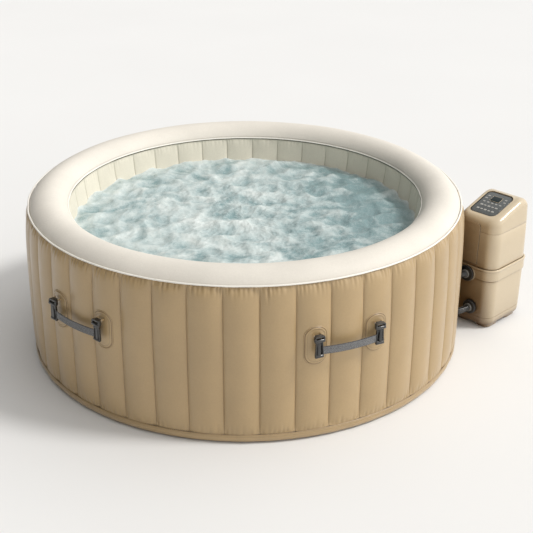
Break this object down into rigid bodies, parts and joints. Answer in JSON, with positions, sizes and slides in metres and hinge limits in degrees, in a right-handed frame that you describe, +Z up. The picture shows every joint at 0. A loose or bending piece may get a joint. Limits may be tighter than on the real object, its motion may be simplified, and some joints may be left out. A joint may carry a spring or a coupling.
{
  "type": "inflatable hot tub",
  "caption": "Round inflatable spa with a padded rim, quilted wall, strap handles, valves, and a separate pump and control unit joined by pipes.",
  "frame": {"origin": "on the tub's axis, at the underside of its floor", "axes": "+Z up along the tub's axis, +X towards the pump and control unit"},
  "size_m": [2.3098, 1.9718, 0.7342],
  "materials": {
    "tan_vinyl": "satin embossed vinyl",
    "cream_vinyl": "smooth satin vinyl",
    "liner_vinyl": "satin vinyl",
    "white_vinyl": "smooth vinyl piping",
    "tan_plastic": "semi-gloss moulded plastic",
    "dark_plastic": "satin moulded plastic",
    "black_plastic": "satin moulded plastic",
    "grey_webbing": "woven webbing",
    "panel_plastic": "glossy membrane",
    "display_glass": "glossy display window",
    "button_plastic": "satin keys",
    "steel": "brushed",
    "board_laminate": "satin laminate",
    "filter_paper": "pleated filter media"
  },
  "bodies": {
    "tub_and_unit": {"outer_wall": "tan_vinyl", "base_band": "tan_vinyl", "inner_liner": "liner_vinyl", "top_ring": "cream_vinyl", "rim_piping": "white_vinyl", "tub_floor": "liner_vinyl", "wall_webs": "white_vinyl", "bubble_ring": "liner_vinyl", "front_right_patch_a": "tan_vinyl", "front_right_patch_b": "tan_vinyl", "front_left_patch_a": "tan_vinyl", "front_left_patch_b": "tan_vinyl", "back_right_patch_a": "tan_vinyl", "back_right_patch_b": "tan_vinyl", "back_left_patch_a": "tan_vinyl", "back_left_patch_b": "tan_vinyl", "lower_housing": "tan_plastic", "upper_housing": "tan_plastic", "top_cover": "tan_plastic", "service_panel": "tan_plastic", "intake_grille": "tan_plastic", "control_panel": "panel_plastic", "display": "display_glass", "cord_gland": "black_plastic", "return_pipe": "dark_plastic", "return_port": "dark_plastic", "suction_pipe": "dark_plastic", "suction_port": "dark_plastic", "air_hose": "dark_plastic", "inflation_valve": "dark_plastic", "drain_valve": "dark_plastic", "circulation_pump": "black_plastic", "air_blower": "black_plastic", "heater_tube": "steel", "filter_cartridge": "filter_paper", "circuit_board": "board_laminate"},
    "front_right_handle": {"front_right_buckle_a": "dark_plastic", "front_right_buckle_b": "dark_plastic", "front_right_strap": "grey_webbing"},
    "front_left_handle": {"front_left_buckle_a": "dark_plastic", "front_left_buckle_b": "dark_plastic", "front_left_strap": "grey_webbing"},
    "back_right_handle": {"back_right_buckle_a": "dark_plastic", "back_right_buckle_b": "dark_plastic", "back_right_strap": "grey_webbing"},
    "back_left_handle": {"back_left_buckle_a": "dark_plastic", "back_left_buckle_b": "dark_plastic", "back_left_strap": "grey_webbing"},
    "button_power": {"button_power": "button_plastic"},
    "button_heater": {"button_heater": "button_plastic"},
    "button_filter": {"button_filter": "button_plastic"},
    "button_bubbles": {"button_bubbles": "button_plastic"},
    "button_down": {"button_down": "button_plastic"},
    "button_up": {"button_up": "button_plastic"},
    "return_nut": {"return_nut": "black_plastic"},
    "suction_nut": {"suction_nut": "black_plastic"},
    "inflation_cap": {"inflation_cap": "black_plastic"},
    "drain_cap": {"drain_cap": "black_plastic"},
    "impeller": {"impeller": "button_plastic"},
    "blower_fan": {"blower_fan": "steel"}
  },
  "joints": [
    {"name": "front_right_handle_swing", "type": "hinge", "parent": "tub_and_unit", "child": "front_right_handle", "pos_m": [0.39594, -0.90628, 0.479], "axis": [-0.9164, -0.4003, 0], "range_deg": [0, 75]},
    {"name": "front_left_handle_swing", "type": "hinge", "parent": "tub_and_unit", "child": "front_left_handle", "pos_m": [-0.67323, -0.72449, 0.479], "axis": [-0.7325, 0.6807, 0], "range_deg": [0, 75]},
    {"name": "back_right_handle_swing", "type": "hinge", "parent": "tub_and_unit", "child": "back_right_handle", "pos_m": [0.39594, 0.90628, 0.479], "axis": [0.9164, -0.4003, 0], "range_deg": [0, 75]},
    {"name": "back_left_handle_swing", "type": "hinge", "parent": "tub_and_unit", "child": "back_left_handle", "pos_m": [-0.67323, 0.72449, 0.479], "axis": [0.7325, 0.6807, 0], "range_deg": [0, 75]},
    {"name": "button_power_press", "type": "slide", "parent": "tub_and_unit", "child": "button_power", "axis": [0.2067, 0.1996, -0.9578], "range_m": [0, 0.0012], "stiffness_N_per_m": 500},
    {"name": "button_heater_press", "type": "slide", "parent": "tub_and_unit", "child": "button_heater", "axis": [0.2067, 0.1996, -0.9578], "range_m": [0, 0.0012], "stiffness_N_per_m": 500},
    {"name": "button_filter_press", "type": "slide", "parent": "tub_and_unit", "child": "button_filter", "axis": [0.2067, 0.1996, -0.9578], "range_m": [0, 0.0012], "stiffness_N_per_m": 500},
    {"name": "button_bubbles_press", "type": "slide", "parent": "tub_and_unit", "child": "button_bubbles", "axis": [0.2067, 0.1996, -0.9578], "range_m": [0, 0.0012], "stiffness_N_per_m": 500},
    {"name": "button_down_press", "type": "slide", "parent": "tub_and_unit", "child": "button_down", "axis": [0.2067, 0.1996, -0.9578], "range_m": [0, 0.0012], "stiffness_N_per_m": 500},
    {"name": "button_up_press", "type": "slide", "parent": "tub_and_unit", "child": "button_up", "axis": [0.2067, 0.1996, -0.9578], "range_m": [0, 0.0012], "stiffness_N_per_m": 500},
    {"name": "return_nut_turn", "type": "hinge", "parent": "tub_and_unit", "child": "return_nut", "pos_m": [1.04161, 0.04367, 0.2665], "axis": [-0.7193, -0.6947, 0], "range_deg": [0, 720]},
    {"name": "suction_nut_turn", "type": "hinge", "parent": "tub_and_unit", "child": "suction_nut", "pos_m": [1.06245, 0.02209, 0.101], "axis": [-0.7193, -0.6947, 0], "range_deg": [0, 720]},
    {"name": "inflation_cap_turn", "type": "hinge", "parent": "tub_and_unit", "child": "inflation_cap", "pos_m": [-0.25416, 0.94854, 0.3], "axis": [-0.2588, 0.9659, 0], "range_deg": [0, 720]},
    {"name": "drain_cap_turn", "type": "hinge", "parent": "tub_and_unit", "child": "drain_cap", "pos_m": [-0.85044, 0.491, 0.08], "axis": [-0.866, 0.5, 0], "range_deg": [0, 720]},
    {"name": "impeller_spin", "type": "hinge", "parent": "tub_and_unit", "child": "impeller", "pos_m": [1.10561, 0.06377, 0.101], "axis": [0.7193, 0.6947, 0], "continuous": true},
    {"name": "blower_fan_spin", "type": "hinge", "parent": "tub_and_unit", "child": "blower_fan", "pos_m": [1.13533, 0.10498, 0.35], "axis": [0, 0, 1], "continuous": true}
  ]
}
